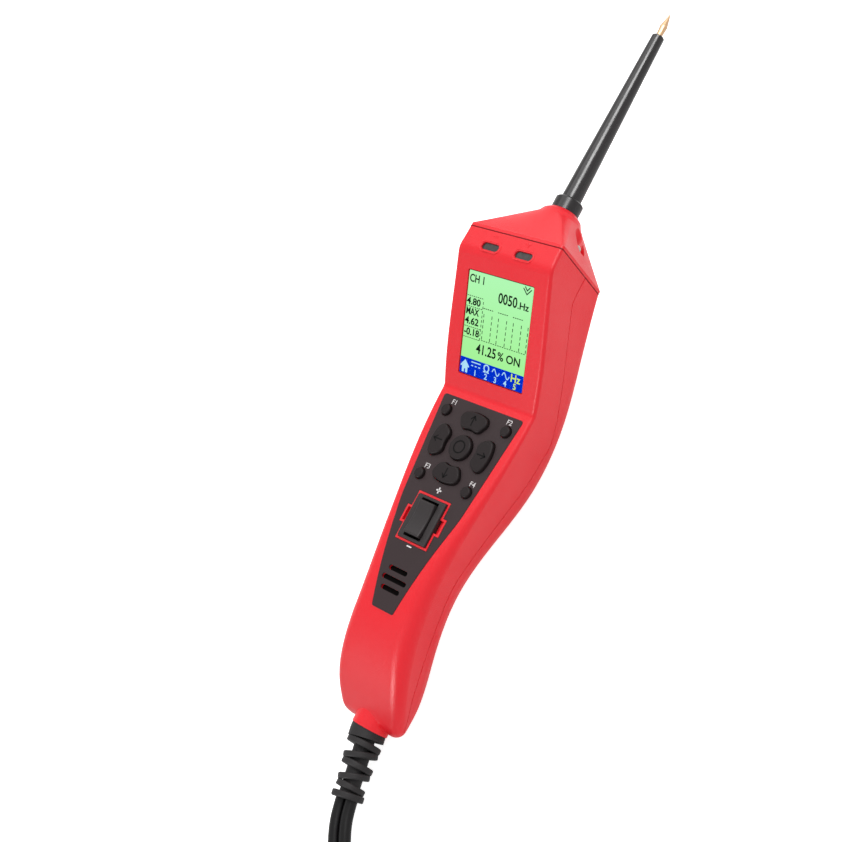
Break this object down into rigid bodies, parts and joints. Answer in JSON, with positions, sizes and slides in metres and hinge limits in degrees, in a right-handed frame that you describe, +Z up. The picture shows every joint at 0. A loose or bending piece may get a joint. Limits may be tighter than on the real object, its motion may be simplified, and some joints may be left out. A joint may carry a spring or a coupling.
{
  "type": "component tester",
  "caption": "Hand-held powered circuit probe: contoured red housing with tilted colour screen, keypad and rocker switch, long insulated needle, spiral strain relief and supply lead in a hank.",
  "frame": {"origin": "centre of the tool's bounding box at the height of the surface it lies on, without the lead", "axes": "+Y along the probe to its tip, +Z up out of the keypad, +X to the right when the screen is read"},
  "size_m": [0.076, 0.4699, 0.0596],
  "materials": {
    "housing_red": "satin moulded",
    "black_rubber": "matte",
    "overlay_grey": "fine texture",
    "black_plastic": "satin",
    "clear_window": "clear",
    "screen": "lit",
    "board_green": "lacquered",
    "lens_grey": "translucent",
    "lamp_clear": "clear",
    "brass": "plated",
    "steel": "zinc plated",
    "cord_black": "smooth",
    "film": "smooth"
  },
  "bodies": {
    "tool": {"front_shell": "housing_red", "rear_shell": "housing_red", "nose_cap": "housing_red", "case_screws": "steel", "display_window": "clear_window", "display_panel": "screen", "display_board": "board_green", "display_ribbon": "film", "main_board": "board_green", "dome_switches": "black_plastic", "keypad_overlay": "overlay_grey", "rocker_housing": "black_plastic", "rocker_pin": "steel", "rocker_contacts": "brass", "speaker": "black_plastic", "indicator_lenses": "lens_grey", "worklight_lenses": "lamp_clear", "probe_socket": "brass", "socket_lead": "cord_black", "power_transistors": "black_plastic", "supply_wires": "cord_black", "strain_relief": "black_rubber", "supply_cord": "cord_black", "supply_hank": "cord_black", "hank_tie": "black_rubber", "cord_plug": "black_plastic", "plug_pins": "brass"},
    "up_key": {"up_key": "black_rubber"},
    "down_key": {"down_key": "black_rubber"},
    "left_key": {"left_key": "black_rubber"},
    "right_key": {"right_key": "black_rubber"},
    "centre_key": {"centre_key": "black_rubber"},
    "upper_left_button": {"upper_left_button": "black_rubber"},
    "upper_right_button": {"upper_right_button": "black_rubber"},
    "lower_left_button": {"lower_left_button": "black_rubber"},
    "lower_right_button": {"lower_right_button": "black_rubber"},
    "rocker": {"rocker_paddle": "black_plastic"},
    "probe": {"probe_collar": "black_plastic", "probe_sleeve": "black_plastic", "probe_needle": "brass"}
  },
  "joints": [
    {"name": "up_key_press", "type": "slide", "parent": "tool", "child": "up_key", "axis": [0, 0, -1], "range_m": [0, 0.0009], "stiffness_N_per_m": 900},
    {"name": "down_key_press", "type": "slide", "parent": "tool", "child": "down_key", "axis": [0, 0, -1], "range_m": [0, 0.0009], "stiffness_N_per_m": 900},
    {"name": "left_key_press", "type": "slide", "parent": "tool", "child": "left_key", "axis": [0, 0, -1], "range_m": [0, 0.0009], "stiffness_N_per_m": 900},
    {"name": "right_key_press", "type": "slide", "parent": "tool", "child": "right_key", "axis": [0, 0, -1], "range_m": [0, 0.0009], "stiffness_N_per_m": 900},
    {"name": "centre_key_press", "type": "slide", "parent": "tool", "child": "centre_key", "axis": [0, 0, -1], "range_m": [0, 0.0009], "stiffness_N_per_m": 900},
    {"name": "upper_left_button_press", "type": "slide", "parent": "tool", "child": "upper_left_button", "axis": [0, 0, -1], "range_m": [0, 0.0009], "stiffness_N_per_m": 900},
    {"name": "upper_right_button_press", "type": "slide", "parent": "tool", "child": "upper_right_button", "axis": [0, 0, -1], "range_m": [0, 0.0009], "stiffness_N_per_m": 900},
    {"name": "lower_left_button_press", "type": "slide", "parent": "tool", "child": "lower_left_button", "axis": [0, 0, -1], "range_m": [0, 0.0009], "stiffness_N_per_m": 900},
    {"name": "lower_right_button_press", "type": "slide", "parent": "tool", "child": "lower_right_button", "axis": [0, 0, -1], "range_m": [0, 0.0009], "stiffness_N_per_m": 900},
    {"name": "rocker_tilt", "type": "hinge", "parent": "tool", "child": "rocker", "pos_m": [0, -0.0603, 0.0318], "axis": [1, 0, 0], "range_deg": [-8, 8], "stiffness_Nm_per_rad": 0.08},
    {"name": "probe_pull", "type": "slide", "parent": "tool", "child": "probe", "axis": [0, 1, 0], "range_m": [0, 0.016]}
  ]
}
